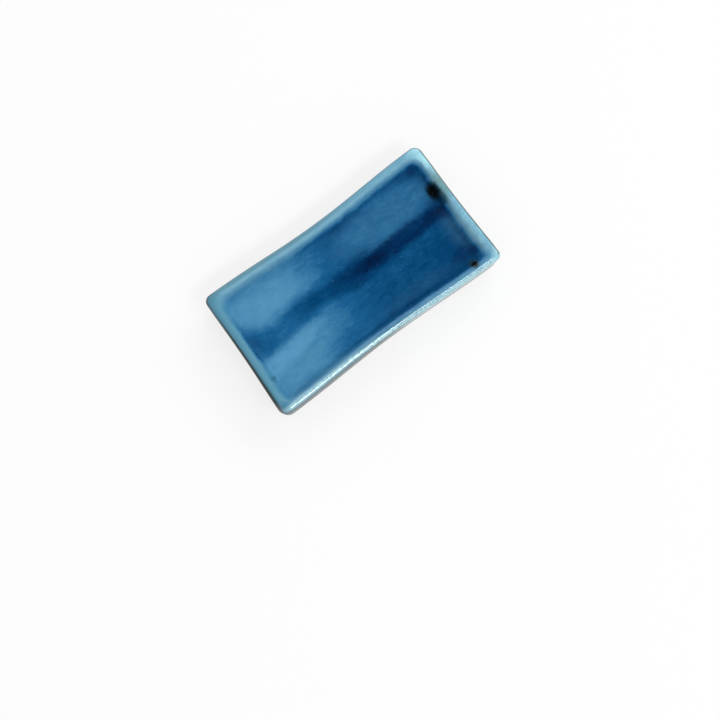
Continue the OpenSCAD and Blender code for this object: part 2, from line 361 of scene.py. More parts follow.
def glaze_line_shift(co):
    """How far the dipped edge of the glaze wanders up or down at a place on the wall."""
    fade = max(0.0, 1 - max(0.0, co.z - BARE_BAND_H) / GLAZE_LINE_FADE_H)
    return GLAZE_LINE_WANDER * fade ** 2 * noise.noise(Vector((co.x, co.y, 0)) * GLAZE_LINE_WAVES)


def glaze_skin(material):
    """Thin glaze over the wall, rim and slopes, ending in a soft bead above the bare band."""
    bm = bmesh.new()
    bead_facing = facing(-WALL_LEAN)
    loops = [ring(bm, bare_wall(BARE_BAND_H))]
    for step in range(1, ROUND_STEPS + 1):
        angle = LEVEL * step / ROUND_STEPS
        bead = bare_wall(BARE_BAND_H + BEAD_H * (1 - math.cos(angle)))
        loops.append(ring(bm, bead + WALL_GLAZE_T * math.sin(angle) * bead_facing))
    skin = skin_stations(ROLL_STEPS, SLOPE_STEPS, FILLET_STEPS)
    bead_top = bare_wall(BARE_BAND_H + BEAD_H) + WALL_GLAZE_T * bead_facing
    for step in range(1, WALL_STEPS):
        loops.append(ring(bm, mix(bead_top, skin[0][0], step / WALL_STEPS)))
    for station in skin[:-1]:
        loops.append(ring(bm, station[0]))
    loops.append(floor_ring(bm, FLOOR_Z, POOL_DIP, 1 + SEAM_SHARE))
    loops.append(floor_ring(bm, FLOOR_Z, POOL_DIP, 1))
    for station in reversed(skin_stations(HIDDEN_STEPS, 2, HIDDEN_STEPS)):
        loops.append(ring(bm, bare(station)))
    bridged(bm, loops, closed=True)
    for vert in bm.verts:
        vert.co.z += glaze_line_shift(vert.co)
    return finished(bm, "glaze_skin", "glaze_coat", material)


def glaze_floor(material):
    """Thick glaze that ran together on the floor of the well, slightly dished on top."""
    bm = bmesh.new()
    loops = []
    for step in range(1, HIDDEN_STEPS):
        loops.append(floor_ring(bm, FLOOR_Z - POOL_EDGE_T, CLAY_DIP, step / HIDDEN_STEPS))
    loops.append(floor_ring(bm, FLOOR_Z - POOL_EDGE_T, CLAY_DIP, 1))
    loops.append(floor_ring(bm, FLOOR_Z, POOL_DIP, 1))
    loops.append(floor_ring(bm, FLOOR_Z, POOL_DIP, 1 - SEAM_SHARE))
    for step in range(FLOOR_STEPS - 1, 0, -1):
        loops.append(floor_ring(bm, FLOOR_Z, POOL_DIP, step / FLOOR_STEPS))
    bridged(bm, loops)
    capped(bm, loops[0], FLOOR_Z - POOL_EDGE_T - CLAY_DIP)
    capped(bm, loops[-1], FLOOR_Z - POOL_DIP)
    return finished(bm, "glaze_floor", "glaze_pool", material)


def iron_blot(name, cad_node, spot, crown, skin, material):
    """Melted iron mark: a low lens lying on the glaze, its edge sunk just under the surface."""
    bm = bmesh.new()
    loops = []
    for reach in BLOT_REACHES:
        before = set(bm.edges)
        bmesh.ops.create_circle(bm, segments=BLOT_SEGMENTS, radius=reach)
        loops.append([e for e in bm.edges if e not in before])
    bridged(bm, loops)
    capped(bm, loops[-1], 0)
    surface = BVHTree.FromObject(skin, bpy.context.evaluated_depsgraph_get())
    turn = Matrix.Rotation(math.radians(spot["turn"]), 3, "Z")
    for vert in bm.verts:
        reach = vert.co.xy.length
        round_angle = math.atan2(vert.co.y, vert.co.x)
        swell = 1 + BLOT_SWELL * math.sin(BLOT_LOBES * round_angle + BLOT_LOBE_START)
        plan = turn @ Vector((vert.co.x * spot["half"][0], vert.co.y * spot["half"][1], 0)) * swell * MM
        plan += Vector((spot["at"][0], spot["at"][1], 0)) * MM
        hit, normal, _, _ = surface.ray_cast(plan + Vector((0, 0, CREST_Z * 3)), Vector((0, 0, -1)))
        vert.co = hit + normal * mix(crown, -BLOT_EDGE_SUNK, reach ** 2)
    bm.normal_update()
    upside_down = [f for f in bm.faces if f.normal.z < 0]
    bmesh.ops.reverse_faces(bm, faces=upside_down)
    bmesh.ops.solidify(bm, geom=list(bm.faces), thickness=BLOT_T)
    bmesh.ops.recalc_face_normals(bm, faces=bm.faces)
    return smooth_piece(bm, name, cad_node, material)


# ---- Node helpers ----

def paint(red, green, blue):
    """A screen colour, 0 to 255, as the linear colour that a shader takes."""
    channels = []
    for value in (red, green, blue):
        value = value / 255
        channels.append(value / 12.92 if value <= 0.04045 else ((value + 0.055) / 1.055) ** 2.4)
    return (*channels, 1)


def fed(tree, made, feeds):
    """A node with its inputs fed with values or with other nodes' outputs."""
    for key, feed in feeds.items():
        if isinstance(feed, bpy.types.NodeSocket):
            tree.links.new(feed, made.inputs[key])
        else:
            made.inputs[key].default_value = feed
    return made


def node(tree, kind, feeds, **settings):
    made = tree.nodes.new(kind)
    for name, value in settings.items():
        setattr(made, name, value)
    return fed(tree, made, feeds)


def placed_group(tree, group, **feeds):
    made = tree.nodes.new("ShaderNodeGroup")
    made.node_tree = group
    return fed(tree, made, {label.replace("_", " "): feed for label, feed in feeds.items()}).outputs


def new_group(name, inputs, outputs):
    """Empty shader node group, with its input sockets to read and its output sockets to feed."""
    tree = bpy.data.node_groups.new(name, "ShaderNodeTree")
    for in_out, sockets in (("INPUT", inputs), ("OUTPUT", outputs)):
        for label, kind in sockets:
            tree.interface.new_socket(label, in_out=in_out, socket_type="NodeSocket" + kind)
    return tree, tree.nodes.new("NodeGroupInput").outputs, tree.nodes.new("NodeGroupOutput").inputs


def maths(tree, operation, *feeds):
    return node(tree, "ShaderNodeMath", dict(enumerate(feeds)), operation=operation).outputs[0]


def product(tree, first, *others):
    for other in others:
        first = maths(tree, "MULTIPLY", first, other)
    return first


def added(tree, value, mask, amount):
    """A value with an amount added to it where a mask says."""
    return maths(tree, "MULTIPLY_ADD", mask, amount, value)


def without(tree, value, mask):
    """A value that fades out where a mask says."""
    return maths(tree, "MULTIPLY", value, maths(tree, "SUBTRACT", 1.0, mask))


def eased(tree, value, start, end, low=0.0, high=1.0):
    """Soft step from low to high as a value goes from start to end."""
    feeds = {"Value": value, "From Min": start, "From Max": end, "To Min": low, "To Max": high}
    return node(tree, "ShaderNodeMapRange", feeds, interpolation_type="SMOOTHSTEP").outputs["Result"]


def stripe(tree, value, start, full, fading, end):
    """Mask of a soft stripe, which starts, is full, fades and ends at these values."""
    return product(tree, eased(tree, value, start, full), eased(tree, value, fading, end, 1.0, 0.0))


def blended(tree, share, under, over):
    return node(tree, "ShaderNodeMix", {0: share, 6: under, 7: over}, data_type="RGBA").outputs[2]


def tinted(tree, colour, mask, shade):
    """A colour under a screen colour that is laid on where a mask says."""
    return blended(tree, mask, colour, paint(*shade))


def moved(tree, operation, *feeds):
    return node(tree, "ShaderNodeVectorMath", dict(enumerate(feeds)), operation=operation).outputs[0]


def scaled(tree, vector, scale):
    return node(tree, "ShaderNodeVectorMath", {0: vector, "Scale": scale}, operation="SCALE").outputs[0]


def noise_texture(tree, place, scale, detail, rough):
    feeds = {"Vector": place, "Scale": scale, "Detail": detail, "Roughness": rough}
    return node(tree, "ShaderNodeTexNoise", feeds).outputs


def cloud(tree, place, scale, detail, rough=0.5):
    """Cloudy value, from 0 to 1."""
    return noise_texture(tree, place, scale, detail, rough)["Fac"]


def swing(tree, place, scale, detail, rough=0.5):
    """Cloudy value, to both sides of 0."""
    return maths(tree, "SUBTRACT", cloud(tree, place, scale, detail, rough), 0.5)


def drift(tree, place, scale, detail, reach, rough=0.5):
    """Cloudy shift of a place, up to half the reach to each side."""
    colour = noise_texture(tree, place, scale, detail, rough)["Color"]
    return scaled(tree, moved(tree, "SUBTRACT", colour, (0.5, 0.5, 0.5)), reach)


# ---- Node groups. Places and sizes in them are in millimetres ----

def soft_patch_group():
    """Mask of one soft-edged oval patch, 1 in its middle."""
    tree, given, out = new_group(
        "Soft Patch",
        [("Place", "Vector"), ("Middle", "Vector"), ("Half Size", "Vector"), ("Turn", "Float"),
         ("Edge", "Float")],
        [("Mask", "Float")])
    turn = node(tree, "ShaderNodeCombineXYZ", {"Z": given["Turn"]}).outputs[0]
    feeds = {
        "Vector": given["Place"], "Location": given["Middle"], "Rotation": turn,
        "Scale": given["Half Size"]}
    local = node(tree, "ShaderNodeMapping", feeds, vector_type="TEXTURE").outputs[0]
    flat = moved(tree, "MULTIPLY", local, (1, 1, 0))
    length = node(tree, "ShaderNodeVectorMath", {0: flat}, operation="LENGTH").outputs["Value"]
    start = maths(tree, "SUBTRACT", 1.0, given["Edge"])
    end = maths(tree, "ADD", 1.0, given["Edge"])
    tree.links.new(eased(tree, length, start, end, 1.0, 0.0), out["Mask"])
    return tree


def rest_plan_group():
    """Distances in from the rest's outline and from its sides."""
    labels = ("Inset", "Front", "Left", "Right", "Along", "Across", "Height")
    tree, given, out = new_group(
        "Rest Plan", [("Place", "Vector")], [(label, "Float") for label in labels])
    apart = node(tree, "ShaderNodeSeparateXYZ", {0: given["Place"]}).outputs
    across, height = apart["Y"], apart["Z"]
    half_l, half_w = OUTLINE_L / MM / 2, OUTLINE_W / MM / 2
    back_share = maths(tree, "MULTIPLY_ADD", across, 0.5 / half_w, 0.5)
    front_share = maths(tree, "SUBTRACT", 1.0, back_share)
    right_share = maths(tree, "MULTIPLY_ADD", apart["X"], 0.5 / half_l, 0.5)
    left_share = maths(tree, "SUBTRACT", 1.0, right_share)
    left_shift = product(tree, back_share, left_share, LEFT_SLANT / MM)
    right_shift = product(tree, front_share, right_share, RIGHT_SLANT / MM)
    along = maths(tree, "SUBTRACT", apart["X"], left_shift)
    along = maths(tree, "ADD", along, right_shift)
    along = maths(tree, "ADD", along, MIDDLE_X / MM)

    def bow(share, depth):
        wave = maths(tree, "COSINE", maths(tree, "MULTIPLY", share, 2 * math.pi))
        return maths(tree, "MULTIPLY", maths(tree, "SUBTRACT", 1.0, wave), depth / MM / 2)

    back = maths(tree, "SUBTRACT", maths(tree, "SUBTRACT", half_w, bow(right_share, BACK_BOW)), across)
    front = maths(tree, "ADD", maths(tree, "SUBTRACT", half_w, bow(right_share, FRONT_BOW)), across)
    end = maths(tree, "SUBTRACT", half_l, bow(back_share, END_BOW))
    right = maths(tree, "SUBTRACT", end, along)
    left = maths(tree, "ADD", end, along)
    rounding = 3.4
    sides = maths(tree, "SMOOTH_MIN", back, front, rounding)
    ends = maths(tree, "SMOOTH_MIN", left, right, rounding)
    results = {
        "Inset": maths(tree, "SMOOTH_MIN", sides, ends, rounding), "Front": front, "Left": left,
        "Right": right, "Along": along, "Across": across, "Height": height}
    for label, result in results.items():
        tree.links.new(result, out[label])
    return tree


def fine_specks_group():
    """Mask of small round specks scattered at a spacing, in a share of their places."""
    tree, given, out = new_group(
        "Fine Specks",
        [("Place", "Vector"), ("Spacing", "Float"), ("Size", "Float"), ("Share", "Float")],
        [("Mask", "Float")])
    per_mm = maths(tree, "DIVIDE", 1.0, given["Spacing"])
    cells = node(
        tree, "ShaderNodeTexVoronoi", {"Vector": given["Place"], "Scale": per_mm, "Randomness": 1.0})
    away = maths(tree, "MULTIPLY", cells.outputs["Distance"], given["Spacing"])
    chance = node(tree, "ShaderNodeSeparateColor", {0: cells.outputs["Color"]}).outputs
    size = product(tree, given["Size"], maths(tree, "MULTIPLY_ADD", chance["Green"], 0.8, 0.4))
    dot = eased(tree, away, maths(tree, "MULTIPLY", size, 0.4), size, 1.0, 0.0)
    there = maths(tree, "LESS_THAN", chance["Red"], given["Share"])
    tree.links.new(maths(tree, "MULTIPLY", dot, there), out["Mask"])
    return tree


SOFT_PATCH = soft_patch_group()
REST_PLAN = rest_plan_group()
FINE_SPECKS = fine_specks_group()


def patch(tree, place, middle, half, edge, turn=0.0):
    """Mask of one soft patch, its turn in degrees."""
    return placed_group(
        tree, SOFT_PATCH, Place=place, Middle=(*middle, 0), Half_Size=(*half, 1),
        Turn=math.radians(turn), Edge=edge)["Mask"]


def patches(tree, place, stretches):
    """Sum of the masks of several stretches, each at its own strength."""
    total = None
    for middle, half, turn, edge, strength in stretches:
        mask = product(tree, patch(tree, place, middle, half, edge, turn), strength)
        total = mask if total is None else maths(tree, "ADD", total, mask)
    return total


def specks(tree, place, spacing, size, share):
    return placed_group(tree, FINE_SPECKS, Place=place, Spacing=spacing, Size=size, Share=share)["Mask"]


# ---- The blue glaze ----

# Stretches of the glaze that differ from the rest of it: middle, half size, turn, edge, strength
DEEP_STRETCHES = [
    ((-16, 0.5), (13, 2.7), 6, 0.6, 0.17),
    ((-24, 0.5), (3.4, 3.7), 0, 0.6, 0.05),
    ((-24.4, 3.6), (2.4, 2.8), 0, 0.6, 0.14),
    ((-25.7, 1.6), (0.7, 5.8), 0, 0.6, 0.14),
    ((-10.5, 1.4), (3.5, 2.6), 0, 0.6, 0.1),
    ((14.5, 0.8), (12, 1.9), 0, 0.42, 0.18),
    ((24, 1.2), (3.0, 2.4), 0, 0.5, 0.07),
    ((1, 0.6), (7, 2.7), 0, 0.5, 0.14),
    ((26.1, 8.9), (0.9, 3.4), -3, 0.6, 0.14),
    ((24.8, 11.6), (1.6, 0.8), 20, 0.5, 0.1),
    ((22.6, -9.8), (3.2, 1.6), -6, 0.5, 0.11),
    ((21, -7), (8, 4), 0, 0.6, 0.05),
    ((14.5, 7.2), (11.5, 4.4), 0, 0.3, -0.12),
    ((-9, -9.5), (4, 2.2), 0, 0.7, 0.08),
]
PALE_DRIFT_STRETCHES = [
    ((-18.2, 6.9), (8.8, 2.9), -3, 0.7, 0.5),
    ((-20.5, -4.7), (9, 1.8), 8, 0.6, 0.7),
    ((14, 6.6), (12, 4.0), 0, 0.45, 0.3),
    ((-22, -9.2), (7, 2.2), 0, 0.7, 0.18),
    ((25.2, -5.2), (2.8, 4.6), 8, 0.6, 0.28),
    ((10, -10), (7, 1.8), 0, 0.8, 0.08),
]

# The stain that each iron mark leaves in the glaze: shift, size against the mark, edge, strength
IRON_STAINS = [
    (LARGE_SPOT, (-0.15, -0.1), 1.22, 0.48, 1.0),
    (SMALL_SPOT, (0, 0), 1.15, 0.5, 1.0),
    (SPECK, (0, 0), 1.5, 0.7, 0.34),
]

# Screen colours of the glaze, first by its depth from 0 to 1
GLAZE_BY_DEPTH = [
    (0.0, (176, 232, 244)), (0.12, (124, 178, 202)), (0.28, (98, 154, 184)), (0.45, (66, 132, 174)),
    (0.6, (24, 96, 146)), (0.75, (3, 68, 114)), (0.88, (0, 46, 90)), (1.0, (0, 27, 62))]
PALE_DRIFT_LEFT = (98, 160, 202)
PALE_DRIFT_RIGHT = (72, 124, 156)
GREEN_END = (92, 148, 156)
GREY_CREST = (92, 132, 146)
# Painted highlights: a line along the front rim and a patch on its right tip
PAINTED_HIGHLIGHT_LINE = (196, 244, 252)
PAINTED_TIP_HIGHLIGHT = (170, 228, 242)
# Painted shade on the outer edge of the left end
PAINTED_SHADE_LEFT_EDGE = (40, 54, 51)
THIN_EDGE = (84, 88, 78)
LARGE_HALO = (110, 144, 134)
SMALL_HALO = (52, 66, 50)
IRON_TRAIL = (0, 32, 40)
IRON_STAIN = (0, 6, 7)
# Painted shade on the outer wall: streaky dark grey-green, lighter and greyer along the front. The brown
# is the glaze thinning at the wall's top
WALL_SHADE_DARK = (66, 98, 110)
WALL_SHADE_LIGHT = (84, 114, 120)
WALL_BROWN_TOP = (112, 104, 92)
WALL_SHADE_FRONT = (116, 132, 134)
BUBBLE = (112, 176, 212)
PINHOLE = (30, 60, 70)


def glaze_depth(tree, place, wandered, plan, front_side):
    """Depth of the glaze: thin over the rim, deeper towards the right end, deepest in a band."""
    pale_right = patch(tree, place, (27, -5.5), (4, 7), 0.5)
    reach = added(tree, plan["Inset"], swing(tree, place, 0.45, 3), 0.8)
    reach = added(tree, reach, front_side, 0.85)
    reach = added(tree, reach, pale_right, -0.58)
    left_side = eased(tree, plan["Left"], 2.0, 5.0, 1.0, 0.0)
    in_well = eased(tree, reach, added(tree, 1.5, left_side, 0.25), added(tree, 3.2, left_side, -0.35))

    drawn_out = moved(tree, "MULTIPLY", place, (0.55, 1.2, 1))
    mottle = swing(tree, drawn_out, 0.6, 6, 0.65)
    floor_depth = eased(tree, plan["Along"], -16.0, 6.0, 0.42, 0.71)
    floor_depth = maths(tree, "ADD", floor_depth, patches(tree, wandered, DEEP_STRETCHES))
    floor_depth = added(tree, floor_depth, mottle, 0.26)
    floor_depth = added(tree, floor_depth, stripe(tree, plan["Inset"], 2.1, 2.9, 3.2, 5.0), 0.03)

    # The rim at the back right corner is made paler still: a painted sheen of the light from that side
    painted_corner_sheen = patch(tree, place, (28.4, 12.2), (3.0, 4.4), 0.7)
    left_end = eased(tree, plan["Left"], 1.0, 4.5, 1.0, 0.0)
    rim_depth = 0.16
    for mask, change in (
            (painted_corner_sheen, -0.13), (left_end, 0.17), (pale_right, -0.05), (front_side, 0.08),
            (mottle, 0.2)):
        rim_depth = added(tree, rim_depth, mask, change)

    deeper = maths(tree, "MULTIPLY", in_well, maths(tree, "SUBTRACT", floor_depth, rim_depth))
    depth = maths(tree, "ADD", rim_depth, deeper)
    return added(tree, depth, swing(tree, drawn_out, 3.2, 3, 0.6), 0.09)


def colour_by_depth(tree, depth):
    ramp = node(tree, "ShaderNodeValToRGB", {0: depth})
    stops = ramp.color_ramp.elements
    stops[0].color = paint(*GLAZE_BY_DEPTH[0][1])
    stops[-1].color = paint(*GLAZE_BY_DEPTH[-1][1])
    for position, shade in GLAZE_BY_DEPTH[1:-1]:
        stops.new(position).color = paint(*shade)
    return ramp.outputs["Color"]


def pale_drifts_and_green(tree, colour, drift_amount, depth, place, wandered, plan):
    """The floor of the well is paler in drifts, and the left end is greener."""
    broken = eased(tree, cloud(tree, place, 0.35, 4, 0.6), 0.2, 0.7, 0.6, 1.1)
    drift_amount = product(
        tree, patches(tree, wandered, PALE_DRIFT_STRETCHES), drift_amount, eased(tree, plan["Inset"], 2.2, 4.2),
        eased(tree, depth, 0.72, 0.92, 1.0, 0.25), broken)
    drift_colour = tinted(
        tree, paint(*PALE_DRIFT_LEFT), eased(tree, plan["Along"], -6.0, 8.0), PALE_DRIFT_RIGHT)
    colour = blended(tree, drift_amount, colour, drift_colour)
    green = product(
        tree, eased(tree, plan["Left"], 1.5, 4.6, 1.0, 0.0), 0.35,
        eased(tree, depth, 0.4, 0.65, 1.0, 0.3))
    return tinted(tree, colour, green, GREEN_END)


def rim_breaks_highlight_and_shade(tree, colour, place, plan, painted_bright_front):
    """The glaze breaks grey on the crest of the left half; a painted highlight runs along the front and
    on its right tip, painted shade darkens the left end's outer edge, and the outer edge is brown."""
    crest = product(
        tree, stripe(tree, plan["Inset"], 0.2, 0.6, 0.8, 1.35),
        eased(tree, plan["Along"], -4.0, 20.0, 0.6, 0.0), eased(tree, plan["Left"], 1.0, 4.5, 0.3, 1.0))
    colour = tinted(tree, colour, crest, GREY_CREST)

    # The painted highlight line is beaded, but even below the rim and towards the left end
    beads = eased(tree, cloud(tree, place, 1.6, 2, 0.6), 0.3, 0.65, 0.35, 1.0)
    evened = maths(
        tree, "MAXIMUM", eased(tree, plan["Height"], 6.4, 7.9, 1.0, 0.0),
        eased(tree, plan["Along"], -25.0, -12.0, 0.55, 0.0))
    beads = added(tree, beads, maths(tree, "SUBTRACT", 0.62, beads), evened)
    line = eased(tree, plan["Along"], -12.0, 8.0, 0.85, 0.12)
    line_reach = eased(tree, plan["Along"], -24.0, -12.0, 0.9, 0.65)
    off_line = maths(tree, "ABSOLUTE", maths(tree, "SUBTRACT", plan["Front"], line))
    painted_highlight_line = product(
        tree, eased(tree, off_line, 0.15, line_reach, 0.95, 0.0), beads,
        eased(tree, plan["Left"], 1.0, 2.8, 0.3, 1.0))
    colour = tinted(tree, colour, painted_highlight_line, PAINTED_HIGHLIGHT_LINE)
    # A painted highlight on the front right tip of the rim
    painted_tip_highlight = product(tree, patch(tree, place, (27.9, -14.3), (1.7, 1.6), 0.7), 0.6)
    colour = tinted(tree, colour, painted_tip_highlight, PAINTED_TIP_HIGHLIGHT)

    # Painted shade: the outer edge of the left end is darkened, most towards the front
    left_shade_reach = eased(tree, plan["Across"], -14.0, 2.0, 1.15, 0.75)
    painted_left_shade = product(
        tree, eased(tree, plan["Left"], 0.3, left_shade_reach, 1.0, 0.0),
        eased(tree, plan["Across"], 3.0, 12.0, 0.95, 0.35),
        eased(tree, plan["Front"], 0.5, 2.0, 0.25, 1.0))
    colour = tinted(tree, colour, painted_left_shade, PAINTED_SHADE_LEFT_EDGE)
    thin_edge = maths(
        tree, "MAXIMUM", eased(tree, plan["Inset"], 0.08, 0.34, 0.75, 0.0),
        eased(tree, plan["Right"], 0.3, 0.62, 0.8, 0.0))
    return tinted(tree, colour, without(tree, thin_edge, painted_bright_front), THIN_EDGE)


def iron_stained(tree, colour, place, wandered):
    """Iron bleeds grey-green and olive round the marks, and leaves a dark stain at each of them."""
    pitted = eased(tree, cloud(tree, place, 1.8, 4, 0.7), 0.35, 0.65, 0.3, 1.0)
    large_halo = product(tree, patch(tree, wandered, (27.3, 5.0), (1.2, 2.9), 0.6), pitted, 0.9)
    colour = tinted(tree, colour, large_halo, LARGE_HALO)
    small_halo = product(tree, patch(tree, wandered, SMALL_SPOT["at"], (1.1, 1.05), 0.6), 0.6)
    colour = tinted(tree, colour, small_halo, SMALL_HALO)
    trail = product(tree, patch(tree, wandered, (25.9, 3.2), (0.75, 2.6), 0.6, 4), 0.75)
    colour = tinted(tree, colour, trail, IRON_TRAIL)
    ragged = moved(tree, "ADD", place, drift(tree, place, 1.3, 3, 0.9, 0.6))
    for spot, shift, size, edge, strength in IRON_STAINS:
        middle = (spot["at"][0] + shift[0], spot["at"][1] + shift[1])
        half = (spot["half"][0] * size, spot["half"][1] * size)
        stain = product(tree, patch(tree, ragged, middle, half, edge, spot["turn"]), strength)
        colour = tinted(tree, colour, stain, IRON_STAIN)
    return colour


def outer_wall(tree, colour, place, plan, painted_bright_front):
    """Mask of the outer wall, and the colour with it: brown where the glaze thins at its top, and below
    that painted shade in streaky dark grey-green, lighter and greyer along the front."""
    wall = product(
        tree, eased(tree, plan["Height"], 7.3, 8.2, 1.0, 0.0),
        eased(tree, plan["Inset"], 1.0, 1.4, 1.0, 0.0))
    # On the front's right half the painted shade is left off the upper wall, so the rim colour and its
    # painted highlight run down to the outer edge
    wall = without(tree, wall, product(tree, painted_bright_front, eased(tree, plan["Height"], 2.0, 5.2)))
    streaks = cloud(tree, moved(tree, "MULTIPLY", place, (1, 1, 0.25)), 0.9, 4)
    wall_colour = tinted(tree, paint(*WALL_SHADE_DARK), eased(tree, streaks, 0.3, 0.7), WALL_SHADE_LIGHT)
    brown = product(tree, eased(tree, plan["Height"], 6.2, 7.4), 0.7)
    wall_colour = tinted(tree, wall_colour, brown, WALL_BROWN_TOP)
    # The painted shade is lighter and greyer along the front, more so to the right
    greyed = product(
        tree, eased(tree, plan["Front"], 0.8, 1.6, 0.5, 0.0),
        eased(tree, plan["Along"], -26.0, 10.0, 0.4, 1.0))
    wall_colour = tinted(tree, wall_colour, greyed, WALL_SHADE_FRONT)
    return wall, blended(tree, wall, colour, wall_colour)


def coat_and_roughness(tree, plan, front_side, wall):
    """Gloss of the glaze: full on the front rim, slight on the crest, the floor and the wall."""
    front_rim = product(
        tree, front_side, eased(tree, plan["Inset"], 1.5, 2.2, 1.0, 0.0),
        eased(tree, plan["Along"], -2.0, 10.0, 1.0, 0.6))
    coat = maths(
        tree, "ADD", eased(tree, plan["Inset"], 4.6, 6.0, 0.0, 0.18),
        eased(tree, plan["Inset"], 1.2, 2.0, 0.07, 0.0))
    coat = maths(tree, "MAXIMUM", coat, front_rim)
    coat = added(tree, without(tree, coat, wall), wall, 0.3)
    roughness = eased(tree, plan["Inset"], 4.8, 6.2, 0.6, 0.3)
    return coat, maths(tree, "MAXIMUM", roughness, product(tree, wall, 0.6))


def glaze_group():
    """Colour, roughness, gloss and relief of the blue glaze at a place on the rest."""
    tree, given, out = new_group(
        "Blue Glaze", [("Place", "Vector"), ("Milk", "Float"), ("Bubbles", "Float")],
        [("Color", "Color"), ("Roughness", "Float"), ("Coat", "Float"), ("Relief", "Float")])
    place = given["Place"]
    wandered = moved(tree, "ADD", place, drift(tree, place, 0.16, 3, 1.4))
    wandered = moved(tree, "ADD", wandered, drift(tree, place, 0.9, 3, 0.9))
    plan = placed_group(tree, REST_PLAN, Place=place)
    front_side = eased(tree, plan["Front"], 1.5, 4.0, 1.0, 0.0)
    # Where the painted highlight on the front's right half runs over the outer edge and down the wall
    painted_bright_front = product(
        tree, eased(tree, plan["Front"], 0.6, 1.0, 1.0, 0.0),
        eased(tree, plan["Along"], -4.0, 10.0, 0.0, 0.8))

    depth = glaze_depth(tree, place, wandered, plan, front_side)
    colour = colour_by_depth(tree, depth)
    colour = pale_drifts_and_green(tree, colour, given["Milk"], depth, place, wandered, plan)
    colour = rim_breaks_highlight_and_shade(tree, colour, place, plan, painted_bright_front)
    colour = iron_stained(tree, colour, place, wandered)
    wall, colour = outer_wall(tree, colour, place, plan, painted_bright_front)

    fine_bubbles = product(tree, specks(tree, place, 0.42, 0.11, 0.4), 0.35)
    bubbles = maths(tree, "MAXIMUM", specks(tree, place, 0.8, 0.13, 0.32), fine_bubbles)
    bubbles = product(tree, bubbles, given["Bubbles"])
    colour = tinted(tree, colour, product(tree, bubbles, 0.4), BUBBLE)
    pinholes = specks(tree, place, 2.3, 0.16, 0.25)
    colour = tinted(tree, colour, product(tree, pinholes, 0.3), PINHOLE)

    coat, roughness = coat_and_roughness(tree, plan, front_side, wall)
    relief = added(tree, cloud(tree, place, 1.1, 3), cloud(tree, place, 4.5, 2), 0.22)
    relief = added(tree, relief, bubbles, 0.35)
    relief = added(tree, relief, pinholes, -0.5)
    results = {"Color": colour, "Roughness": roughness, "Coat": coat, "Relief": relief}
    for label, result in results.items():
        tree.links.new(result, out[label])
    return tree


BLUE_GLAZE = glaze_group()


# ---- Materials ----

GLAZE_COAT_IOR = 1.9
GLAZE_SPECULAR = 0.06
GLAZE_BUMP_H = 0.02 * MM
CLAY_BUMP_H = 0.05 * MM
TABLE_DARK = (0.96, 0.96, 0.96, 1)
TABLE_LIGHT = (0.975, 0.975, 0.975, 1)
TABLE_LIFT = 0.75
IRON_DARK = (0, 5, 6)
IRON_BURNT = (14, 14, 9)
CLAY_DARK = (138, 124, 106)
CLAY_LIGHT = (172, 158, 138)
CLAY_GRAIN = (120, 104, 86)
CLAY_GROG = (92, 74, 58)
# Iron stain on the clay below the glaze line, darkened to serve as painted shade too
CLAY_STAIN_AND_SHADE = (98, 74, 54)


def new_material(name):
    """Empty material, with its tree, its shader and the place on the rest in millimetres."""
    material = bpy.data.materials.new(name)
    material.use_nodes = True
    tree = material.node_tree
    coordinates = node(tree, "ShaderNodeTexCoord", {}).outputs["Object"]
    return material, tree, tree.nodes["Principled BSDF"], scaled(tree, coordinates, 1 / MM)


def bumped(tree, shader, relief, strength, distance):
    feeds = {"Height": relief, "Strength": strength, "Distance": distance}
    tree.links.new(node(tree, "ShaderNodeBump", feeds).outputs["Normal"], shader.inputs["Normal"])


def glaze_material(name, bubbles, coat_roughness):
    material, tree, shader, place = new_material(name)
    glaze = placed_group(tree, BLUE_GLAZE, Place=place, Milk=1.0, Bubbles=bubbles)
    tree.links.new(glaze["Color"], shader.inputs["Base Color"])
    tree.links.new(glaze["Roughness"], shader.inputs["Roughness"])
    tree.links.new(glaze["Coat"], shader.inputs["Coat Weight"])
    shader.inputs["Coat Roughness"].default_value = coat_roughness
    shader.inputs["Coat IOR"].default_value = GLAZE_COAT_IOR
    shader.inputs["Specular IOR Level"].default_value = GLAZE_SPECULAR
    bumped(tree, shader, glaze["Relief"], 0.5, GLAZE_BUMP_H)
    return material


def iron_material(name, strength, spots):
    """Dark iron that fades into the glaze's own colour towards the edge of each mark."""
    material, tree, shader, place = new_material(name)
    glaze = placed_group(tree, BLUE_GLAZE, Place=place, Milk=0.0, Bubbles=0.0)
    burnt = eased(tree, cloud(tree, place, 1.6, 4, 0.6), 0.35, 0.75, 0.15, 0.75)
    dark = tinted(tree, paint(*IRON_DARK), burnt, IRON_BURNT)
    middles = 0.0
    for spot in spots:
        middles = maths(
            tree, "MAXIMUM", middles, patch(tree, place, spot["at"], spot["half"], 0.55, spot["turn"]))
    colour = blended(tree, product(tree, middles, strength), glaze["Color"], dark)
    tree.links.new(colour, shader.inputs["Base Color"])
    shader.inputs["Roughness"].default_value = 0.45
    shader.inputs["Specular IOR Level"].default_value = 0.05
    bumped(tree, shader, glaze["Relief"], 0.15, GLAZE_BUMP_H)
    return material


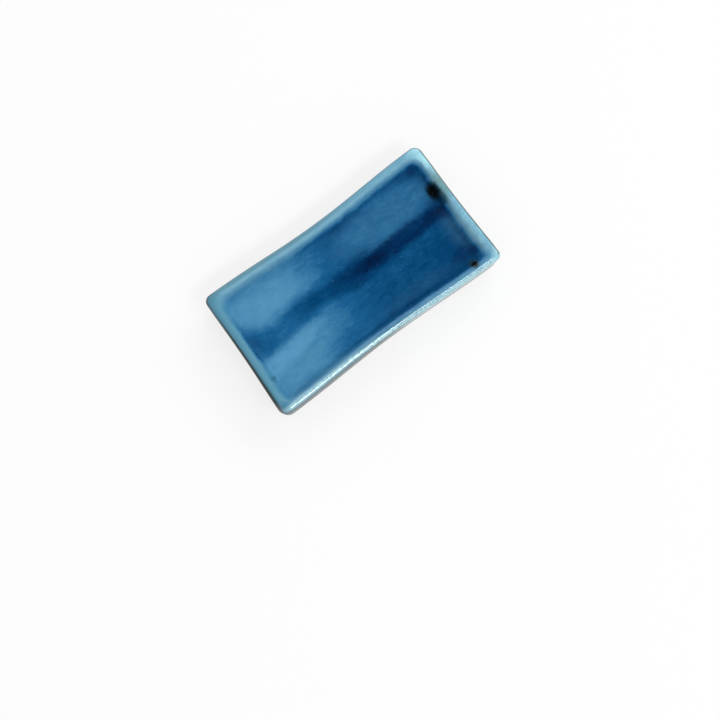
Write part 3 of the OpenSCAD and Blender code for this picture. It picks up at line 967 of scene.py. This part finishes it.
def bare_clay_material():
    material, tree, shader, place = new_material("bare fired clay")
    mottle = cloud(tree, place, 0.5, 5, 0.65)
    grain = cloud(tree, place, 5.0, 4, 0.7)
    colour = tinted(tree, paint(*CLAY_DARK), eased(tree, mottle, 0.3, 0.7), CLAY_LIGHT)
    colour = tinted(tree, colour, product(tree, eased(tree, grain, 0.35, 0.7), 0.35), CLAY_GRAIN)
    grog = specks(tree, place, 1.1, 0.2, 0.35)
    colour = tinted(tree, colour, product(tree, grog, 0.6), CLAY_GROG)
    # Iron stains the clay next to the glaze line, and the stain is made dark enough to serve as painted
    # shade on that band as well
    plan = placed_group(tree, REST_PLAN, Place=place)
    stain = product(
        tree, eased(tree, plan["Height"], 0.7, 1.4), eased(tree, plan["Inset"], 1.5, 2.5, 1.0, 0.0),
        0.75)
    colour = tinted(tree, colour, stain, CLAY_STAIN_AND_SHADE)
    tree.links.new(colour, shader.inputs["Base Color"])
    tree.links.new(eased(tree, grain, 0.3, 0.7, 0.78, 0.95), shader.inputs["Roughness"])
    shader.inputs["Specular IOR Level"].default_value = 0.3
    bumped(tree, shader, added(tree, grain, grog, 0.6), 0.7, CLAY_BUMP_H)
    return material


def table_material():
    material, tree, shader, place = new_material("white table")
    colour = blended(tree, cloud(tree, place, 0.02, 2), TABLE_DARK, TABLE_LIGHT)
    tree.links.new(colour, shader.inputs["Base Color"])
    shader.inputs["Roughness"].default_value = 0.9
    shader.inputs["Specular IOR Level"].default_value = 0.1
    # Seen directly or mirrored, the table is lifted towards white, so that the shadow on it stays faint
    ray = tree.nodes.new("ShaderNodeLightPath").outputs
    seen = maths(tree, "MAXIMUM", ray["Is Camera Ray"], ray["Is Glossy Ray"])
    white = node(tree, "ShaderNodeEmission", {"Color": (1, 1, 1, 1), "Strength": 1.0}).outputs[0]
    feeds = {0: product(tree, seen, TABLE_LIFT), 1: shader.outputs[0], 2: white}
    lifted = node(tree, "ShaderNodeMixShader", feeds).outputs[0]
    tree.links.new(lifted, tree.nodes["Material Output"].inputs["Surface"])
    return material


# ---- Table, light and camera ----

TABLE_R = 2.5
CAMERA_TURN = math.radians(-37)
CAMERA_HEIGHT = math.radians(80)
CAMERA_AWAY = 330 * MM
CAMERA_LENS = 80.2
AIM_RIGHT = 1.82 * MM
AIM_UP = -17 * MM
AIM_Z = 7.4 * MM


def table_top(material):
    bm = bmesh.new()
    bmesh.ops.create_circle(bm, cap_ends=True, segments=64, radius=TABLE_R)
    mesh_object(bm, "table_top", material)


def sky():
    """Soft surround, with a dark patch straight overhead so that the glossy well stays deep."""
    world = bpy.data.worlds.new("soft surround")
    bpy.context.scene.world = world
    world.use_nodes = True
    tree = world.node_tree
    way = node(tree, "ShaderNodeTexCoord", {}).outputs["Generated"]
    up = node(tree, "ShaderNodeSeparateXYZ", {0: way}).outputs["Z"]
    strength = product(
        tree, eased(tree, up, 0.0, 0.4, 0.35, 0.78), eased(tree, up, 0.8, 0.94, 1.0, 0.03))
    backdrop = tree.nodes["Background"]
    backdrop.inputs["Color"].default_value = (1, 1, 1, 1)
    tree.links.new(strength, backdrop.inputs["Strength"])


def hung(name, data, place, back):
    """Lamp or camera at a place, with its back turned this way."""
    made = bpy.data.objects.new(name, data)
    made.location = place
    made.rotation_mode = "QUATERNION"
    made.rotation_quaternion = back.to_track_quat("Z", "Y")
    bpy.context.scene.collection.objects.link(made)
    return made


def lamp(name, way, distance, size_x, size_y, power):
    """Area lamp that looks at the rest from a direction."""
    data = bpy.data.lights.new(name, "AREA")
    data.shape = "RECTANGLE"
    data.size, data.size_y = size_x, size_y
    data.energy = power
    direction = Vector(way).normalized()
    hung(name, data, direction * distance, direction)


def camera():
    data = bpy.data.cameras.new("camera")
    data.sensor_width = 36
    data.lens = CAMERA_LENS
    data.clip_start, data.clip_end = 0.01, 20
    right = Vector((math.cos(CAMERA_TURN), math.sin(CAMERA_TURN), 0))
    up = Vector((0, 0, 1)).cross(right)
    back = Vector((
        math.sin(CAMERA_TURN) * math.cos(CAMERA_HEIGHT),
        -math.cos(CAMERA_TURN) * math.cos(CAMERA_HEIGHT),
        math.sin(CAMERA_HEIGHT)))
    aim = right * AIM_RIGHT + up * AIM_UP + Vector((0, 0, AIM_Z))
    bpy.context.scene.camera = hung("camera", data, aim + back * CAMERA_AWAY, back)


# ---- The scene ----

iron = iron_material("melted iron mark", 0.6, [LARGE_SPOT, SMALL_SPOT])
faint_iron = iron_material("faint iron mark", 0.08, [SPECK])

clay_dish(bare_clay_material())
skin = glaze_skin(glaze_material("thin blue glaze", 0.7, 0.06))
glaze_floor(glaze_material("pooled blue glaze", 1.0, 0.08))
iron_blot("iron_blot_large", "iron_spot_large", LARGE_SPOT, BLOT_CROWN, skin, iron)
iron_blot("iron_blot_small", "iron_spot_small", SMALL_SPOT, BLOT_CROWN, skin, iron)
iron_blot("iron_fleck", "iron_speck", SPECK, FLECK_CROWN, skin, faint_iron)

table_top(table_material())
sky()
lamp("key window", way=(0.75, 0.3, 0.58), distance=0.9, size_x=0.9, size_y=0.4, power=2.9)
lamp("front strip", way=(0.1, -0.55, 0.83), distance=0.8, size_x=0.35, size_y=0.12, power=1.85)
camera()
bpy.context.scene.view_settings.view_transform = "Standard"
